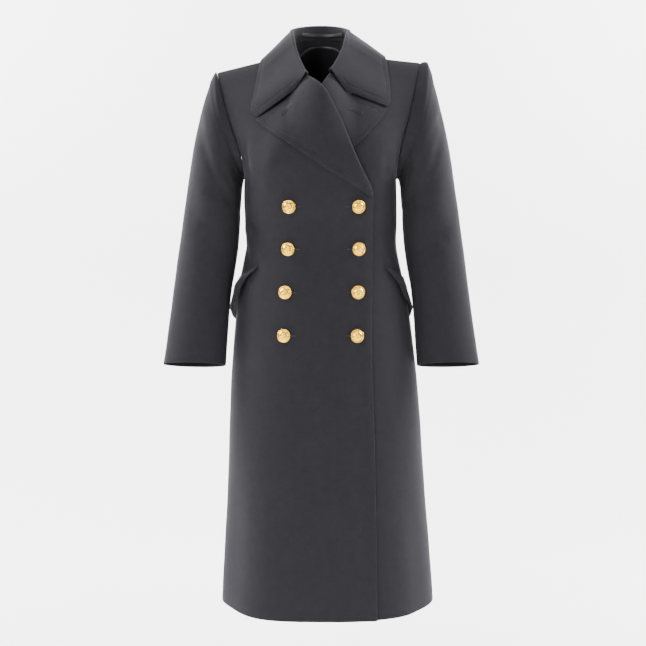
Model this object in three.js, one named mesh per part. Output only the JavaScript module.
// A long double-breasted overcoat of heavy wool, filled out as it is worn, with nobody in it.
// Millimetres, +Z up, the front faces -Y, the wearer's left is +X. The origin is the base of the neck,
// midway between the neck ends of the shoulder seams, where the wearer's shoulders hold the coat up.
// The right front laps over the left one, as the coat is buttoned.
import * as THREE from "three";

const { lerp, clamp, smoothstep, degToRad } = THREE.MathUtils;

// Driving sizes
const CLOTH = 2.2; // one layer of milled wool
const LINING = 1.2; // satin with its seam allowances
const LINING_LIFT = 0.05; // how far its upper edge rises towards the collar's seam, as a level
const GAP = 0.4; // left between pieces at a seam
const HEM = -1143; // height of the lower edge
const ARMPIT = -262; // lowest point of the armhole
const NECK_POINT = new THREE.Vector3(76, 6, -11); // neck end of a shoulder seam
const BACK_NECK = new THREE.Vector3(0, 66, 26); // seam of the collar at the middle of the back
const WAIST_DEPTH = 5; // how far behind the origin the widest line of the body lies
const LAPEL_RISE = 5; // outer face of a lapel above the front that it is turned over
const OVERLAP_UNDER = -97; // edge of the left front, hidden under the right one
const BREAK_Z = -298; // where the edge of a front starts to turn over as its lapel
const ROLL_TOP_Z = { right: -58, left: -50 }; // upper ends of the roll lines, at the neck
const NECK_SHARE = 0.62; // share of a panel's width that the shoulder seam takes
const BUTTON = { diameter: 27, rise: 6.2, rim: 1.6, shank: 7, seat: 4.75, segments: 16 };
// A pocket flap: its front upper corner, then its seam and its back and front ends as ways back and down
const FLAP = {
  thickness: 3,
  corner: { x: 127, z: -437 },
  seam: { back: 180, down: 68 },
  backEnd: { back: 1, down: 73 },
  gape: { at: 0.1, wide: 0.2, high: 9 },
  stand: { right: 6.5, left: 2 },
  flare: 8, // of the back end
};
// The front end of a flap: how far back it lies at shares of its depth
const FLAP_FRONT = [
  { down: 0, back: 0 },
  { down: 0.2, back: 8 },
  { down: 0.41, back: 17 },
  { down: 0.62, back: 24 },
  { down: 0.82, back: 27 },
  { down: 1, back: 29 },
];
const FLAP_DEPTH = 76; // of its front end, down the coat
// The hanger loop: a tape inside the back of the collar, with its droop and its curve round the neck
const LOOP = { length: 84, width: 8, thickness: 1.4, y: 59.4, z: 35.5, droop: 1, curve: 14 };
// The collar's fold and its place at the back of the neck, and its leaf there
const FOLD = { radius: 4.4, backY: 73, backZ: 57 };
const LEAF = { lift: 6.5, y: 8, backY: 119, backZ: -30, rise: 4, riseFrom: 0.3 };

// Half-widths on the wearer's right and left, depths to the front and back, the turn of the side seam
// towards the back in degrees, and how square the section is (2 is an ellipse)
const BODY = [
  { z: -1150, right: 209, left: 232, front: 190, back: 162, seam: 24, square: 2.9 },
  { z: -1032, right: 204, left: 224, front: 181, back: 154, seam: 24, square: 2.8 },
  { z: -928, right: 200, left: 217, front: 173, back: 149, seam: 24, square: 2.7 },
  { z: -826, right: 197, left: 211, front: 165, back: 144, seam: 24, square: 2.6 },
  { z: -747, right: 194, left: 206, front: 159, back: 140, seam: 24, square: 2.5 },
  { z: -656, right: 189, left: 197, front: 150, back: 134, seam: 23, square: 2.45 },
  { z: -556, right: 181, left: 184, front: 139, back: 126, seam: 22, square: 2.4 },
  { z: -480, right: 173, left: 171, front: 129, back: 113, seam: 20, square: 2.4 },
  { z: -440, right: 165, left: 162, front: 122, back: 103, seam: 18, square: 2.35 },
  { z: -400, right: 157, left: 155, front: 118, back: 97, seam: 15, square: 2.3 },
  { z: -350, right: 159, left: 156, front: 121, back: 100, seam: 9, square: 2.3 },
  { z: -262, right: 160, left: 154, front: 128, back: 111, seam: 0, square: 2.3 },
];

// The armhole from its lowest point forwards and up to the shoulder, then down the back
const ARMHOLE = [
  { at: 0, x: 157, y: WAIST_DEPTH, z: ARMPIT },
  { at: 0.12, x: 157, y: -46, z: -238 },
  { at: 0.24, x: 164, y: -69, z: -195 },
  { at: 0.35, x: 180, y: -62, z: -143 },
  { at: 0.44, x: 195, y: -35, z: -86 },
  { at: 0.52, x: 208, y: 6, z: -35 },
  { at: 0.61, x: 198, y: 46, z: -84 },
  { at: 0.71, x: 184, y: 74, z: -142 },
  { at: 0.84, x: 168, y: 66, z: -205 },
  { at: 1, x: 157, y: WAIST_DEPTH, z: ARMPIT },
];
const SHOULDER_AT = 0.52; // the outer end of the shoulder seam, and its height
const SHOULDER_Z = -35;
// The shoulders are not level: the right one is lower and wider
const TILT = { armpitX: 3, shoulderX: 4, shoulderZ: 10, sleeveX: 1.5 };

// Middle lines of the chest and of the back above the armpits
const CHEST = [
  { t: 0, y: WAIST_DEPTH - 128, z: ARMPIT },
  { t: 0.25, y: -123, z: -208 },
  { t: 0.5, y: -116, z: -146 },
  { t: 0.75, y: -98, z: -80 },
  { t: 1, y: -30, z: 8 },
];
const BLADES = [
  { t: 0, y: WAIST_DEPTH + 111, z: ARMPIT },
  { t: 0.3, y: 120, z: -182 },
  { t: 0.6, y: 114, z: -98 },
  { t: 0.85, y: 88, z: -22 },
  { t: 1, y: BACK_NECK.y, z: BACK_NECK.z },
];

// The right front's own edge from the hem up, then the roll lines and neck seams of both fronts, each
// with x as it is on the right front
const FRONT_EDGE = [
  { z: -1150, x: 110 },
  { z: -889, x: 105.5 },
  { z: -723, x: 101 },
  { z: -604, x: 97.5 },
  { z: -400, x: 98 },
  { z: -298, x: 96.6 },
];
const ROLL = {
  right: [
    { z: -298, x: 96.6 },
    { z: -268, x: 90.5 },
    { z: -200, x: 58.4 },
    { z: -127, x: 23.6 },
    { z: -82, x: -0.8 },
    { z: -58, x: -28 },
  ],
  left: [
    { z: -298, x: 96.6 },
    { z: -268, x: 90.5 },
    { z: -200, x: 58.4 },
    { z: -127, x: 23.6 },
    { z: -78, x: 1 },
    { z: -50, x: -17 },
  ],
};
const NECK = {
  right: [
    { z: -58, x: -39 },
    { z: -50, x: -47 },
    { z: -40, x: -56 },
    { z: -26, x: -66.5 },
    { z: -16, x: -73.5 },
    { z: NECK_POINT.z, x: -NECK_POINT.x },
  ],
  left: [
    { z: -50, x: -26 },
    { z: -45, x: -38 },
    { z: -38, x: -52 },
    { z: -26, x: -66.5 },
    { z: -16, x: -73.5 },
    { z: NECK_POINT.z, x: -NECK_POINT.x },
  ],
};

// Lower edge of each lapel from the break point to its corner
const LAPEL_EDGE = {
  right: [
    { at: 0, x: 90, z: -296 },
    { at: 0.2, x: 56, z: -269 },
    { at: 0.4, x: 10, z: -241 },
    { at: 0.62, x: -44, z: -206 },
    { at: 0.78, x: -81, z: -184 },
    { at: 0.93, x: -114, z: -159 },
    { at: 1, x: -129, z: -144 },
  ],
  left: [
    { at: 0, x: -90, z: -296 },
    { at: 0.2, x: -55, z: -276 },
    { at: 0.4, x: -5, z: -246 },
    { at: 0.62, x: 52, z: -207 },
    { at: 0.78, x: 84, z: -180 },
    { at: 0.93, x: 118, z: -141 },
    { at: 1, x: 127, z: -124 },
  ],
};
// Where the seam of collar and lapel ends and the notch begins, and its share of the way to the corner
const NOTCH = {
  right: { x: -44, z: -91, share: 1 / 3 },
  left: { x: 43, z: -91, share: 1 / 3 },
};

const NOTCH_GAP = 1.6; // half of what the collar and the lapel stay apart there

// The collar from each front end to the side of the neck: its seam, its fold and its outer edge
const COLLAR_ENDS = {
  right: [
    { at: 0, seamX: -36, seamZ: -57, foldX: -28, foldY: -93, foldZ: -51, edgeX: -127, edgeZ: -138 },
    { at: 0.09, seamX: -43, seamZ: -51, foldX: -32, foldY: -86, foldZ: -46, edgeX: -140, edgeZ: -124 },
    { at: 0.2, seamX: -52, seamZ: -40, foldX: -42, foldY: -66, foldZ: -26, edgeX: -136, edgeZ: -96 },
    { at: 0.32, seamX: -62.5, seamZ: -26, foldX: -52, foldY: -42, foldZ: 0, edgeX: -131, edgeZ: -64 },
    { at: 0.45, seamX: -69.5, seamZ: -16, foldX: -58, foldY: -20, foldZ: 24, edgeX: -126, edgeZ: -33 },
    { at: 0.5, seamX: -76, seamZ: -11, foldX: -62, foldY: 6, foldZ: 40, edgeX: -120, edgeZ: -16 },
  ],
  left: [
    { at: 0, seamX: 21, seamZ: -48, foldX: 15, foldY: -84, foldZ: -44, edgeX: 128, edgeZ: -117 },
    { at: 0.09, seamX: 32, seamZ: -45, foldX: 20.5, foldY: -78, foldZ: -39, edgeX: 135, edgeZ: -108 },
    { at: 0.2, seamX: 47, seamZ: -38, foldX: 32, foldY: -62, foldZ: -20, edgeX: 136, edgeZ: -82 },
    { at: 0.32, seamX: 62.5, seamZ: -26, foldX: 42.5, foldY: -42, foldZ: 4, edgeX: 134, edgeZ: -52 },
    { at: 0.45, seamX: 69.5, seamZ: -16, foldX: 49, foldY: -20, foldZ: 25, edgeX: 131, edgeZ: -26 },
    { at: 0.5, seamX: 76, seamZ: -11, foldX: 55, foldY: 6, foldZ: 39, edgeX: 128, edgeZ: -11 },
  ],
};
// Round the side and the back of the neck the leaf falls in nearly straight lines
const STRAIGHT = { from: 0.16, to: 0.42, bulge: 2 };

// The sleeve's sections: outermost and innermost points, middle and half of its depth, tilt of the section
const SLEEVE = [
  { outX: 216, outZ: -30, inX: 160, inZ: -266, y: 5, deep: 74, tilt: 0 },
  { outX: 225, outZ: -46, inX: 162, inZ: -274, y: 5, deep: 77, tilt: 0 },
  { outX: 232, outZ: -72, inX: 164, inZ: -284, y: 5, deep: 79, tilt: 0 },
  { outX: 242, outZ: -106, inX: 165, inZ: -294, y: 4, deep: 80, tilt: 0 },
  { outX: 252, outZ: -145, inX: 166, inZ: -305, y: 4, deep: 79, tilt: 0 },
  { outX: 262, outZ: -191, inX: 167, inZ: -317, y: 3, deep: 77, tilt: 0 },
  { outX: 271, outZ: -244, inX: 168, inZ: -332, y: 2, deep: 75, tilt: 1 },
  { outX: 283, outZ: -319, inX: 169, inZ: -358, y: 0, deep: 71, tilt: 3 },
  { outX: 291, outZ: -376, inX: 172, inZ: -396, y: -3, deep: 68, tilt: 5 },
  { outX: 300, outZ: -440, inX: 179, inZ: -448, y: -8, deep: 65, tilt: 9 },
  { outX: 306, outZ: -491, inX: 186.5, inZ: -494, y: -16, deep: 61, tilt: 12 },
  { outX: 313, outZ: -545, inX: 191, inZ: -546, y: -27, deep: 57, tilt: 14 },
  { outX: 321, outZ: -605, inX: 194.5, inZ: -606, y: -42, deep: 52, tilt: 15 },
  { outX: 326.5, outZ: -641, inX: 197, inZ: -643, y: -51, deep: 49, tilt: 15 },
];
const SLEEVE_HEAD = 0.3; // share of the sleeve that takes on the form of the armhole
const HEAD_PULL = 0.75;

// Buttons of the left and right columns as they are seen, row by row
const BUTTON_ROWS = [
  { z: -315, right: -62, left: 68.5 },
  { z: -400.5, right: -65.5, left: 71 },
  { z: -486.5, right: -71.5, left: 70 },
  { z: -572, right: -74, left: 68.5 },
];

// Soft folds of the skirt: where on the way round, how wide, how deep at the hem, and where each begins
const SKIRT_FOLDS = [
  { turn: 14, wide: 9, deep: 5, from: -640 },
  { turn: 33, wide: 8, deep: -4, from: -700 },
  { turn: 146, wide: 10, deep: -4.5, from: -620 },
  { turn: 163, wide: 8, deep: 5, from: -700 },
  { turn: -22, wide: 9, deep: -5, from: -600 },
  { turn: -52, wide: 12, deep: 7, from: -560 },
  { turn: -72, wide: 8, deep: -5, from: -640 },
  { turn: -108, wide: 8, deep: -5, from: -620 },
  { turn: -130, wide: 12, deep: 7, from: -580 },
  { turn: -158, wide: 9, deep: -5, from: -620 },
];
// Creases of the sleeves: place along and round the sleeve, size and depth
const SLEEVE_FOLDS = [
  { along: 0.36, turn: 70, slant: 14, wide: 0.03, round: 60, deep: -5 },
  { along: 0.45, turn: 90, slant: -10, wide: 0.03, round: 55, deep: -4 },
  { along: 0.6, turn: 80, slant: 12, wide: 0.035, round: 50, deep: -4.5 },
  { along: 0.52, turn: 250, slant: 10, wide: 0.035, round: 55, deep: -5 },
  { along: 0.68, turn: 265, slant: -8, wide: 0.03, round: 50, deep: -4 },
];

const COLOURS = {
  wool: { color: "#27282d", roughness: 0.9, metalness: 0 },
  satin: { color: "#1a1a1e", roughness: 0.45, metalness: 0 },
  gilt: { color: "#e3b23c", roughness: 0.28, metalness: 1 },
};

// Value of one column of a table at a given place, on a smooth curve through its rows
function along(rows, key, column, at) {
  const up = rows[rows.length - 1][key] > rows[0][key] ? 1 : -1;
  let i = 0;
  while (i < rows.length - 2 && up * at > up * rows[i + 1][key]) i += 1;
  const slope = (k) => {
    const a = rows[Math.max(k - 1, 0)];
    const b = rows[Math.min(k + 1, rows.length - 1)];
    return (b[column] - a[column]) / (b[key] - a[key]);
  };
  const from = rows[i];
  const to = rows[i + 1];
  const span = to[key] - from[key];
  const u = clamp((at - from[key]) / span, 0, 1);
  const u2 = u * u;
  const u3 = u2 * u;
  return (
    (2 * u3 - 3 * u2 + 1) * from[column] +
    (u3 - 2 * u2 + u) * span * slope(i) +
    (3 * u2 - 2 * u3) * to[column] +
    (u3 - u2) * span * slope(i + 1)
  );
}

const soft = (value, low, high) => smoothstep(value, low, high);

// A point of the body's section at a height; turn is 0 at the wearer's left, 90 in front, 180 at the right
function sectionPoint(z, turn) {
  const angle = degToRad(turn);
  const c = Math.cos(angle);
  const s = Math.sin(angle);
  const wide = along(BODY, "z", c > 0 ? "left" : "right", z);
  const deep = along(BODY, "z", s > 0 ? "front" : "back", z);
  const n = along(BODY, "z", "square", z);
  let r = (Math.abs(c / wide) ** n + Math.abs(s / deep) ** n) ** (-1 / n);
  for (const fold of SKIRT_FOLDS) {
    const away = (((turn - fold.turn + 540) % 360) - 180) / fold.wide;
    r += fold.deep * Math.exp(-away * away) * soft(fold.from - z, 0, fold.from - HEM);
  }
  return new THREE.Vector3(c * r, WAIST_DEPTH - s * r, z);
}

// A point of the armhole on one side, 0 and 1 at its lowest point
function armholePoint(side, at) {
  const [x, y, z] = ["x", "y", "z"].map((name) => along(ARMHOLE, "at", name, at));
  const height = clamp((z - ARMPIT) / (SHOULDER_Z - ARMPIT), 0, 1);
  const wider = -side * (TILT.armpitX + TILT.shoulderX * height);
  return new THREE.Vector3(side * (x + wider), y, z + side * TILT.shoulderZ * height);
}

// The shoulder line from the armhole to the neck point, and past it towards the middle of the neck
function shoulderLine(side, s, middle, round) {
  const neck = NECK_POINT.clone().multiply(new THREE.Vector3(side, 1, 1));
  if (s <= NECK_SHARE) {
    return armholePoint(side, SHOULDER_AT).lerp(neck, s / NECK_SHARE);
  }
  const u = (s - NECK_SHARE) / (1 - NECK_SHARE);
  const bend = (u * Math.PI) / 2;
  const reach = round ? Math.cos(bend) : 1 - u;
  const turn = round ? Math.sin(bend) : u * u * (3 - 2 * u);
  return new THREE.Vector3(neck.x * reach, lerp(neck.y, middle.y, turn), lerp(neck.z, middle.z, turn));
}

// The shell of the whole coat. side is 1 for the wearer's left. Going round, s is 0 at the side seam or the
// armhole and 1 at the middle; level is 0 at the hem, 1 at the armpit and 2 at the shoulder.
function shellPoint(side, isFront, s, level) {
  const facing = isFront ? 1 : -1;
  const turnAt = (z) => {
    const seam = -along(BODY, "z", "seam", z);
    const own = lerp(seam, 90 * facing, s);
    return side > 0 ? own : 180 - own;
  };
  if (level <= 1) {
    const z = lerp(HEM, ARMPIT, level);
    return sectionPoint(z, turnAt(z));
  }
  const t = Math.min(level - 1, 1);
  const rows = isFront ? CHEST : BLADES;
  const top = rows[rows.length - 1];
  const middle = new THREE.Vector3(0, top.y, top.z);
  const bottomRow = (u) => {
    const own = 90 * facing * u;
    return sectionPoint(ARMPIT, side > 0 ? own : 180 - own);
  };
  const arm = (v) => armholePoint(side, isFront ? v * SHOULDER_AT : 1 - v * (1 - SHOULDER_AT));
  const centre = new THREE.Vector3(0, along(rows, "t", "y", t), along(rows, "t", "z", t));
  const a = s * s * (3 - 2 * s);
  const b = t * t * (3 - 2 * t);
  const point = bottomRow(s).multiplyScalar(1 - b).addScaledVector(shoulderLine(side, s, middle, false), b);
  point.addScaledVector(arm(t), 1 - a).addScaledVector(centre, a);
  point.addScaledVector(bottomRow(0), -(1 - a) * (1 - b)).addScaledVector(bottomRow(1), -a * (1 - b));
  point.addScaledVector(arm(1), -(1 - a) * b).addScaledVector(middle, -a * b);
  if (!isFront) {
    const rounding = shoulderLine(side, s, middle, true).sub(shoulderLine(side, s, middle, false));
    point.addScaledVector(rounding, t ** 8);
  }
  return point;
}

// The front shell past the middle too: run goes from 0 at the side to 2 at the other side
const acrossFront = (side, run, level) =>
  run <= 1 ? shellPoint(side, true, run, level) : shellPoint(-side, true, 2 - run, level);

const NEAR = 0.004; // a small step on the shell, for its slopes

// The outward direction of the front shell
function frontNormal(side, run, level) {
  const round = acrossFront(side, run + NEAR, level).sub(acrossFront(side, run - NEAR, level));
  const low = Math.max(level - NEAR, 0);
  const rise = acrossFront(side, run, Math.min(level + NEAR, 2)).sub(acrossFront(side, run, low));
  return round.cross(rise).multiplyScalar(-side).normalize();
}

// The outward direction of the back shell
function backNormal(side, s, level) {
  const high = Math.min(s + NEAR, 1);
  const round = shellPoint(side, false, high, level).sub(shellPoint(side, false, high - 2 * NEAR, level));
  const top = Math.min(level + NEAR, 2);
  const rise = shellPoint(side, false, s, top).sub(shellPoint(side, false, s, top - 2 * NEAR));
  return round.cross(rise).multiplyScalar(side).normalize();
}

// The outward direction at the side seam, shared by the front and the back that meet there
function seamNormal(side, level) {
  const round = shellPoint(side, true, NEAR, level).sub(shellPoint(side, false, NEAR, level));
  const low = Math.max(level - NEAR, 0);
  const rise = shellPoint(side, true, 0, level + NEAR).sub(shellPoint(side, true, 0, low));
  return round.cross(rise).multiplyScalar(-side).normalize();
}

// How far the right front rides out over what lies under it
function rideOut(x, z) {
  const underRoll = -along(ROLL.left, "z", "x", Math.min(z, ROLL_TOP_Z.left));
  const underEdge = z > BREAK_Z ? underRoll : OVERLAP_UNDER;
  const height = lerp(3.6, 9.6, soft(z, -355, -302));
  const covered = soft(x, underEdge - 80, underEdge - 16);
  const edge = along(FRONT_EDGE, "z", "x", Math.min(z, BREAK_Z));
  return height * covered + 2.5 * soft(x, edge - 30, edge) * soft(-z, 290, 340);
}

// The place on the front shell that is seen at x and z from the front: its run, level and outward direction
function frontAt(x, z, rises = false) {
  const side = -1;
  let run = 1 + x / 190;
  let level = z < ARMPIT ? (z - HEM) / (ARMPIT - HEM) : 1 + (z - ARMPIT) / 270;
  const step = 0.002;
  for (let i = 0; i < 14; i += 1) {
    run = clamp(run, 0.02, 1.98);
    level = clamp(level, 0, 1.999);
    const here = acrossFront(side, run, level);
    const byRun = acrossFront(side, run + step, level).sub(here).divideScalar(step);
    const byLevel = acrossFront(side, run, level + step * 0.4).sub(here).divideScalar(step * 0.4);
    const dx = x - here.x;
    const dz = z - here.z;
    const det = byRun.x * byLevel.z - byLevel.x * byRun.z;
    run += (dx * byLevel.z - dz * byLevel.x) / det;
    level += (dz * byRun.x - dx * byRun.z) / det;
  }
  run = clamp(run, 0.02, 1.98);
  level = clamp(level, 0, 1.999);
  const point = acrossFront(side, run, level);
  const out = frontNormal(side, run, level);
  return { point: rises ? point.addScaledVector(out, rideOut(x, z)) : point, out };
}

// A closed wall: the outer points, and the same points moved in by the thickness along the outward directions
function wall(rows, thickness, { closed = false, flip = false, turned = (out) => out } = {}) {
  const rowCount = rows.length;
  const count = rows[0].length;
  const column = (j) => (closed ? (j + count) % count : clamp(j, 0, count - 1));
  const pick = (i, j) => rows[clamp(i, 0, rowCount - 1)][column(j)];
  const inner = rows.map((row, i) =>
    row.map((point, j) => {
      const round = pick(i, j + 1).clone().sub(pick(i, j - 1));
      const rise = pick(i + 1, j).clone().sub(pick(i - 1, j));
      const out = turned(round.cross(rise).multiplyScalar(flip ? -1 : 1).normalize(), i, j);
      return point.clone().addScaledVector(out, -thickness);
    }),
  );
  const positions = [...rows.flat(), ...inner.flat()].flatMap((p) => [p.x, p.y, p.z]);
  const index = [];
  const offset = rowCount * count;
  const quad = (a, b, c, d) => {
    if (flip) index.push(a, c, b, a, d, c);
    else index.push(a, b, c, a, c, d);
  };
  const last = closed ? count : count - 1;
  for (let i = 0; i < rowCount - 1; i += 1) {
    for (let j = 0; j < last; j += 1) {
      const a = i * count + j;
      const b = i * count + ((j + 1) % count);
      quad(a, b, b + count, a + count);
      quad(offset + a, offset + a + count, offset + b + count, offset + b);
    }
    if (!closed) {
      const first = i * count;
      const end = first + count - 1;
      quad(first, first + count, offset + first + count, offset + first);
      quad(end, offset + end, offset + end + count, end + count);
    }
  }
  for (let j = 0; j < last; j += 1) {
    const next = (j + 1) % count;
    const top = (rowCount - 1) * count;
    quad(j, offset + j, offset + next, next);
    quad(top + j, top + next, offset + top + next, offset + top + j);
  }
  const geometry = new THREE.BufferGeometry();
  geometry.setAttribute("position", new THREE.Float32BufferAttribute(positions, 3));
  geometry.setIndex(index);
  geometry.computeVertexNormals();
  return geometry;
}

const steps = (count) => Array.from({ length: count + 1 }, (_, i) => i / count);

const coat = new THREE.Group();

function add(name, geometry, colour) {
  const mesh = new THREE.Mesh(geometry, new THREE.MeshStandardMaterial(COLOURS[colour]));
  mesh.name = name;
  coat.add(mesh);
  return mesh;
}

// Levels of the rows of a front or back panel, closer together above the armpit
const levelOf = (z) => (z - HEM) / (ARMPIT - HEM);
const PANEL_LEVELS = [
  ...steps(8).map((u) => levelOf(lerp(HEM, -600, u))),
  ...[-566, -532, -500, -468, -436, -404, -372, -340, -312, -297, -280, ARMPIT].map(levelOf),
  ...steps(12).slice(1).map((u) => 1 + u),
];

// Inward directions at the seams of a panel, the same for the two pieces that meet at each
const seamTurns = (side, columns) => (out, i, j) => {
  const level = PANEL_LEVELS[i];
  const onShoulder = columns < 0 || j / columns < NECK_SHARE + 0.01;
  if (level === 2 && onShoulder) return out.setY(0).normalize();
  if (j === 0 && level < 1) return seamNormal(side, level);
  if (j === columns) return out.setX(0).normalize();
  return out;
};

// A front: from the side seam and the armhole to its own edge, its roll line and the neck
function frontPanel(side, columns) {
  const name = side < 0 ? "right" : "left";
  const roll = ROLL[name];
  const edgeX = (z) => {
    const mirrored = -side;
    if (z > ROLL_TOP_Z[name]) return mirrored * along(NECK[name], "z", "x", z);
    if (z > BREAK_Z) {
      const slope = (along(roll, "z", "x", z + 1) - along(roll, "z", "x", z - 1)) / 2;
      const inset = (TURN_RADIUS + 3.6) * Math.hypot(1, slope) * soft(z, -304, -294);
      return mirrored * (along(roll, "z", "x", z) - inset);
    }
    return side < 0 ? along(FRONT_EDGE, "z", "x", z) : OVERLAP_UNDER;
  };
  const ends = (level) => {
    let low = 0.1;
    let high = 1.95;
    for (let i = 0; i < 40; i += 1) {
      const run = (low + high) / 2;
      const p = acrossFront(side, run, level);
      if (-side * (p.x - edgeX(p.z)) < 0) low = run;
      else high = run;
    }
    return low;
  };
  const start = GAP / 2 / 280;
  const rows = PANEL_LEVELS.map((level) => {
    const end = ends(level);
    return steps(columns).map((u) => {
      const run = lerp(start, end, u);
      const p = acrossFront(side, run, level);
      if (side > 0) return p;
      return p.addScaledVector(frontNormal(side, Math.max(run, 0.01), level), rideOut(p.x, p.z));
    });
  });
  return wall(rows, CLOTH, { flip: side > 0, turned: seamTurns(side, -1) });
}

// A half of the back, from the side seam and the armhole to the seam down its middle
function backPanel(side, columns) {
  const rows = PANEL_LEVELS.map((level) =>
    steps(columns).map((u) => shellPoint(side, false, lerp(GAP / 500, 1 - GAP / 500, u), level)),
  );
  return wall(rows, CLOTH, { flip: side < 0, turned: seamTurns(side, columns) });
}

// A sleeve: a tube from the armhole to the cuff
function sleeve(side, ringCount, around) {
  const table = SLEEVE.map((row, i) => ({ ...row, at: i / (SLEEVE.length - 1) }));
  const ring = (at) => {
    const value = (name) => along(table, "at", name, at);
    const raised = side * TILT.shoulderZ * soft(SLEEVE_HEAD - at, 0, SLEEVE_HEAD);
    const wider = -side * TILT.sleeveX;
    const outer = new THREE.Vector3(side * (value("outX") + wider), value("y"), value("outZ") + raised);
    const inner = new THREE.Vector3(side * (value("inX") + wider), value("y"), value("inZ"));
    const lean = degToRad(value("tilt"));
    return {
      middle: outer.clone().add(inner).multiplyScalar(0.5),
      out: outer.clone().sub(inner).multiplyScalar(0.5),
      back: new THREE.Vector3(0, Math.cos(lean), -Math.sin(lean)).multiplyScalar(value("deep")),
    };
  };
  const armholeAt = (turn) => {
    const share = turn / 360;
    return share < 0.5 ? lerp(SHOULDER_AT, 0, share * 2) : lerp(1, SHOULDER_AT, share * 2 - 1);
  };
  const rings = [];
  const turns = steps(around).slice(0, -1).map((u) => u * 360);
  const first = ring(0);
  const seamStep = new THREE.Vector3(side * GAP, 0, -GAP);
  rings.push(turns.map((turn) => armholePoint(side, armholeAt(turn)).add(seamStep)));
  for (const at of steps(ringCount)) {
    const { middle, out, back } = ring(at);
    rings.push(
      turns.map((turn) => {
        const angle = degToRad(turn);
        const point = middle.clone().addScaledVector(out, Math.cos(angle));
        point.addScaledVector(back, -Math.sin(angle));
        const own = first.middle.clone().addScaledVector(first.out, Math.cos(angle));
        own.addScaledVector(first.back, -Math.sin(angle));
        const keep = soft(SLEEVE_HEAD - at, 0, SLEEVE_HEAD);
        const shift = armholePoint(side, armholeAt(turn)).sub(own).setX(0);
        point.addScaledVector(shift, HEAD_PULL * keep);
        let push = 0;
        for (const fold of SLEEVE_FOLDS) {
          const round = ((turn - fold.turn + 540) % 360) - 180;
          const slanted = at - fold.along - (fold.slant / 1000) * (round / 10);
          push += fold.deep * Math.exp(-((slanted / fold.wide) ** 2) - (round / fold.round) ** 2);
        }
        return point.addScaledVector(point.clone().sub(middle).normalize(), push);
      }),
    );
  }
  return wall(rings, CLOTH, { closed: true, flip: side < 0 });
}

// Points of a turned-over layer on the front: distance from the roll line and height above the front
const TURN_RADIUS = (LAPEL_RISE + CLOTH) / 2;
const TURN_STEPS = [-90, -140, 180, 140, 90];
const LAPEL_BELOW = 4.6; // how far a lapel's top row starts below the upper end of its roll line

// The way at q along two straight lines that meet in a corner at a share of the way
function bent(start, corner, end, share, q) {
  return q < share ? lerp(start, corner, q / share) : lerp(corner, end, (q - share) / (1 - share));
}

// A lapel: the cloth past the roll line, turned over and laid back on the front
function lapel(side, rowCount, columns) {
  const name = side < 0 ? "right" : "left";
  const rises = side < 0;
  const notch = NOTCH[name];
  const rows = steps(rowCount).map((u) => {
    const z = lerp(BREAK_Z + 5, ROLL_TOP_Z[name] - LAPEL_BELOW, u);
    const roll = { x: -side * along(ROLL[name], "z", "x", z), z };
    const tip = {
      x: along(LAPEL_EDGE[name], "at", "x", u),
      z: along(LAPEL_EDGE[name], "at", "z", u) - 1.6 * u ** 6,
    };
    const pull = u ** 5;
    const corner = { x: notch.x, z: notch.z - NOTCH_GAP };
    const via = {
      x: lerp((roll.x + tip.x) / 2, corner.x, pull),
      z: lerp((roll.z + tip.z) / 2, corner.z, pull),
    };
    const length = Math.hypot(tip.x - roll.x, tip.z - roll.z);
    const toward = new THREE.Vector2(via.x - roll.x, via.z - roll.z).normalize();
    const onFront = (distance, rise) => {
      const { point, out } = frontAt(roll.x + toward.x * distance, roll.z + toward.y * distance, rises);
      return point.addScaledVector(out, rise);
    };
    const middleRise = (LAPEL_RISE - CLOTH) / 2;
    const row = [onFront(TURN_RADIUS + 0.2, -CLOTH)];
    for (const turn of TURN_STEPS) {
      const angle = degToRad(turn);
      row.push(onFront(TURN_RADIUS * (1 + Math.cos(angle)), middleRise + TURN_RADIUS * Math.sin(angle)));
    }
    const begin = TURN_RADIUS / length;
    for (const v of steps(columns).slice(1)) {
      const q = lerp(begin, 1, v);
      const way = (axis) => {
        const bow = (1 - q) ** 2 * roll[axis] + 2 * q * (1 - q) * via[axis] + q * q * tip[axis];
        return lerp(bow, bent(roll[axis], corner[axis], tip[axis], notch.share, q), pull);
      };
      const { point, out } = frontAt(way("x"), way("z"), rises);
      row.push(point.addScaledVector(out, LAPEL_RISE + 1.2 * Math.sin(Math.PI * q) - 0.6 * q));
    }
    return row;
  });
  return wall(rows, CLOTH, { flip: side < 0 });
}

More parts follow.
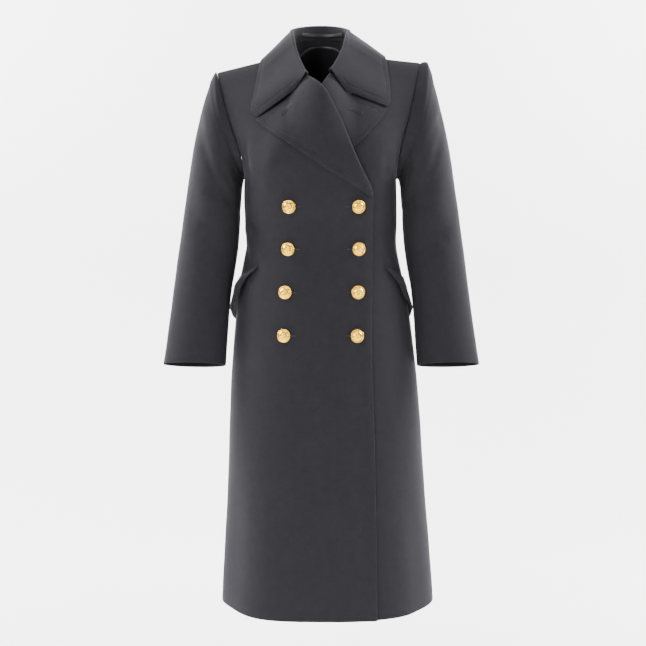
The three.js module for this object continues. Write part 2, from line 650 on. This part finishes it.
// The collar: its stand inside, the fold, and the leaf outside, from the right front end to the left
function collar(rowsPerSide, columns) {
  const neckAround = (side, bend) => {
    const share = Math.sin(bend);
    const x = side * NECK_POINT.x * Math.cos(bend);
    const y = lerp(NECK_POINT.y, BACK_NECK.y, share);
    return new THREE.Vector3(x, y, lerp(NECK_POINT.z, BACK_NECK.z, share));
  };
  const foldAround = (end, bend) => {
    const share = Math.sin(bend);
    const x = end.foldX * Math.cos(bend) ** 0.9;
    return new THREE.Vector3(x, lerp(end.foldY, FOLD.backY, share), lerp(end.foldZ, FOLD.backZ, share));
  };
  const leafAround = (end, bend, u) => {
    const x = end.edgeX * Math.cos(bend) ** 0.8;
    const y = lerp(LEAF.y, LEAF.backY, Math.sin(bend) ** 0.9);
    return new THREE.Vector3(x, y, lerp(end.edgeZ + LEAF.rise, LEAF.backZ, u));
  };
  const half = (side) => {
    const table = side < 0 ? COLLAR_ENDS.right : COLLAR_ENDS.left;
    const end = table[table.length - 1];
    return steps(rowsPerSide).map((at) => {
      if (at > end.at) {
        const u = (at - end.at) / (1 - end.at);
        const bend = (u * Math.PI) / 2;
        const edge = leafAround(end, bend, u);
        return { seam: neckAround(side, bend), fold: foldAround(end, bend), edge, pull: 0, straight: 1 };
      }
      const value = (name) => along(table, "at", name, at);
      const seam = at < 0.47 ? frontAt(value("seamX"), value("seamZ")).point : neckAround(side, 0);
      const fold = new THREE.Vector3(value("foldX"), value("foldY"), value("foldZ"));
      const { point: edge, out } = frontAt(value("edgeX"), Math.min(value("edgeZ"), -22));
      edge.addScaledVector(out, LEAF.lift + 2.5 * soft(at, 0.1, 0.4));
      edge.z = value("edgeZ") + LEAF.rise * soft(at, LEAF.riseFrom, end.at);
      const straight = soft(at, STRAIGHT.from, STRAIGHT.to);
      return { seam, fold, edge, pull: (1 - at / end.at) ** 6, straight };
    });
  };
  const all = [...half(-1), ...half(1).reverse().slice(1)];
  const grid = all.map((row, i) => {
    const before = all[Math.max(i - 1, 0)].fold;
    const after = all[Math.min(i + 1, all.length - 1)].fold;
    const forward = after.clone().sub(before).normalize();
    const outward = new THREE.Vector3(row.fold.x, row.fold.y - 10, 0).normalize();
    outward.addScaledVector(forward, -outward.dot(forward)).normalize();
    const over = outward.clone().cross(forward).normalize();
    if (over.z < 0) over.negate();
    const turnMiddle = row.fold.clone().addScaledVector(over, -FOLD.radius);
    const standTop = turnMiddle.clone().addScaledVector(outward, -FOLD.radius);
    const standFoot = row.seam.clone().addScaledVector(outward, -CLOTH - 1).addScaledVector(over, 1);
    const points = [0, 0.5].map((u) => standFoot.clone().lerp(standTop, u));
    for (const turn of [180, 135, 90, 45, 0]) {
      const angle = degToRad(turn);
      const p = turnMiddle.clone().addScaledVector(outward, FOLD.radius * Math.cos(angle));
      points.push(p.addScaledVector(over, FOLD.radius * Math.sin(angle)));
    }
    const start = points[points.length - 1];
    const reach = start.distanceTo(row.edge);
    const via = start.clone().addScaledVector(over, -reach * 0.42).addScaledVector(outward, reach * 0.1);
    const halfWay = start.clone().lerp(row.edge, 0.5).addScaledVector(over, STRAIGHT.bulge);
    via.lerp(halfWay, row.straight);
    const notch = i < rowsPerSide ? NOTCH.right : NOTCH.left;
    const found = frontAt(notch.x, notch.z + NOTCH_GAP, i < rowsPerSide);
    const corner = found.point.addScaledVector(found.out, LEAF.lift);
    via.lerp(corner, row.pull);
    for (const q of steps(columns).slice(1)) {
      const bow = start.clone().multiplyScalar((1 - q) ** 2);
      bow.addScaledVector(via, 2 * q * (1 - q)).addScaledVector(row.edge, q * q);
      const straightEnd = new THREE.Vector3(
        bent(start.x, corner.x, row.edge.x, notch.share, q),
        bent(start.y, corner.y, row.edge.y, notch.share, q),
        bent(start.z, corner.z, row.edge.z, notch.share, q),
      );
      points.push(bow.lerp(straightEnd, row.pull));
    }
    return points;
  });
  return wall(grid, CLOTH, { flip: true });
}

// A pocket flap: hung from a slanted seam on the hip, its free edge standing a little away from the coat
function pocketFlap(side, columns, rowCount) {
  const stand = side < 0 ? FLAP.stand.right : FLAP.stand.left;
  let behind = 0.02;
  let cornerRun = 0.98;
  for (let i = 0; i < 40; i += 1) {
    const run = (behind + cornerRun) / 2;
    if (Math.abs(acrossFront(side, run, levelOf(FLAP.corner.z)).x) > FLAP.corner.x) behind = run;
    else cornerRun = run;
  }
  const hip = levelOf(FLAP.corner.z - FLAP.seam.down);
  const perRun = acrossFront(side, 0.1, hip).distanceTo(acrossFront(side, 0.02, hip)) / 0.08;
  const rows = steps(rowCount).map((down) =>
    steps(columns).map((u) => {
      const rounded = 1 - 0.12 * (1 - soft(u, 0, 0.12)) - 0.1 * soft(u, 0.92, 1);
      const frontBack = along(FLAP_FRONT, "down", "back", down);
      const back = u * FLAP.seam.back + lerp(frontBack, down * FLAP.backEnd.back, u);
      const low = u * FLAP.seam.down + down * rounded * lerp(FLAP_DEPTH, FLAP.backEnd.down, u);
      const run = Math.max(cornerRun - back / perRun, 0.005);
      const level = levelOf(FLAP.corner.z - low);
      const gape = FLAP.gape.high * Math.exp(-(((u - FLAP.gape.at) / FLAP.gape.wide) ** 2));
      const flare = FLAP.flare * soft(u, 0.72, 0.95);
      const lifted = down * gape + stand * soft(down, 0, 0.3) + flare * soft(down, 0, 0.6);
      const rise = FLAP.thickness + GAP + lifted;
      const out = frontNormal(side, Math.max(run, 0.01), level);
      const point = acrossFront(side, run, level);
      return point.addScaledVector(out, rise + (side < 0 ? rideOut(point.x, point.z) : 0));
    }),
  );
  return wall(rows, FLAP.thickness, { flip: side > 0 });
}

// A button: a domed cap with a rolled rim and a short shank behind it
function buttonGeometry() {
  const r = BUTTON.diameter / 2;
  const profile = [
    [0, -4.2],
    [BUTTON.shank / 2, -4.2],
    [BUTTON.shank / 2, -0.6],
    [r - 1.8, -0.6],
    [r, 0.4],
    [r - 0.1, BUTTON.rim],
    [r - 1.5, BUTTON.rim + 0.9],
    [r - 2.6, BUTTON.rim + 0.5],
    [r * 0.55, BUTTON.rise - 1.3],
    [0, BUTTON.rise - 0.4],
  ];
  const geometry = new THREE.LatheGeometry(profile.map(([x, y]) => new THREE.Vector2(x, y)), BUTTON.segments);
  geometry.deleteAttribute("uv");
  return geometry;
}

// The satin inside the upper back, a little in from the wool, with its soft vertical folds
function backLining(columns) {
  const levels = PANEL_LEVELS.filter((level) => level > 0.9 && level < 1.95);
  const rows = levels.map((own, i) => {
    const row = [];
    for (const side of [-1, 1]) {
      const points = steps(columns).slice(1).map((s, k) => {
        const fold = 0.7 * (1 + Math.sin(2.1 * k));
        const level = own + (i === levels.length - 1 ? LINING_LIFT * soft(s, 0.7, 0.92) : 0);
        const point = shellPoint(side, false, s, level);
        return point.addScaledVector(backNormal(side, s, level), -CLOTH - 1 - fold);
      });
      row.push(...(side < 0 ? points : points.reverse().slice(1)));
    }
    return row;
  });
  return wall(rows, LINING, { flip: true });
}

for (const side of [-1, 1]) {
  const name = side < 0 ? "right" : "left";
  add(name + "_front", frontPanel(side, side < 0 ? 17 : 16), "wool");
  add(name + "_back", backPanel(side, 9), "wool");
  add(name + "_sleeve", sleeve(side, 20, 20), "wool");
  add(name + "_lapel", lapel(side, 14, 7), "wool");
  add(name + "_pocket_flap", pocketFlap(side, 10, 4), "wool");
}
add("collar", collar(15, 6), "wool");
add("back_lining", backLining(9), "satin");

BUTTON_ROWS.forEach((row, i) => {
  for (const name of ["right", "left"]) {
    const { point, out } = frontAt(row[name], row.z, true);
    const button = add("button_" + name + "_" + (i + 1), buttonGeometry(), "gilt");
    button.position.copy(point.addScaledVector(out, BUTTON.seat));
    button.quaternion.setFromUnitVectors(new THREE.Vector3(0, 1, 0), out);
  }
});

const loop = new THREE.BoxGeometry(LOOP.length, LOOP.thickness, LOOP.width, 12, 1, 1);
const places = loop.getAttribute("position");
for (let i = 0; i < places.count; i += 1) {
  const share = (2 * places.getX(i)) / LOOP.length;
  places.setZ(i, places.getZ(i) - LOOP.droop * (1 - share ** 2));
  places.setY(i, places.getY(i) - LOOP.curve * share ** 2);
}
add("hanger_loop", loop, "satin").position.set(0, LOOP.y, LOOP.z);

export default coat;
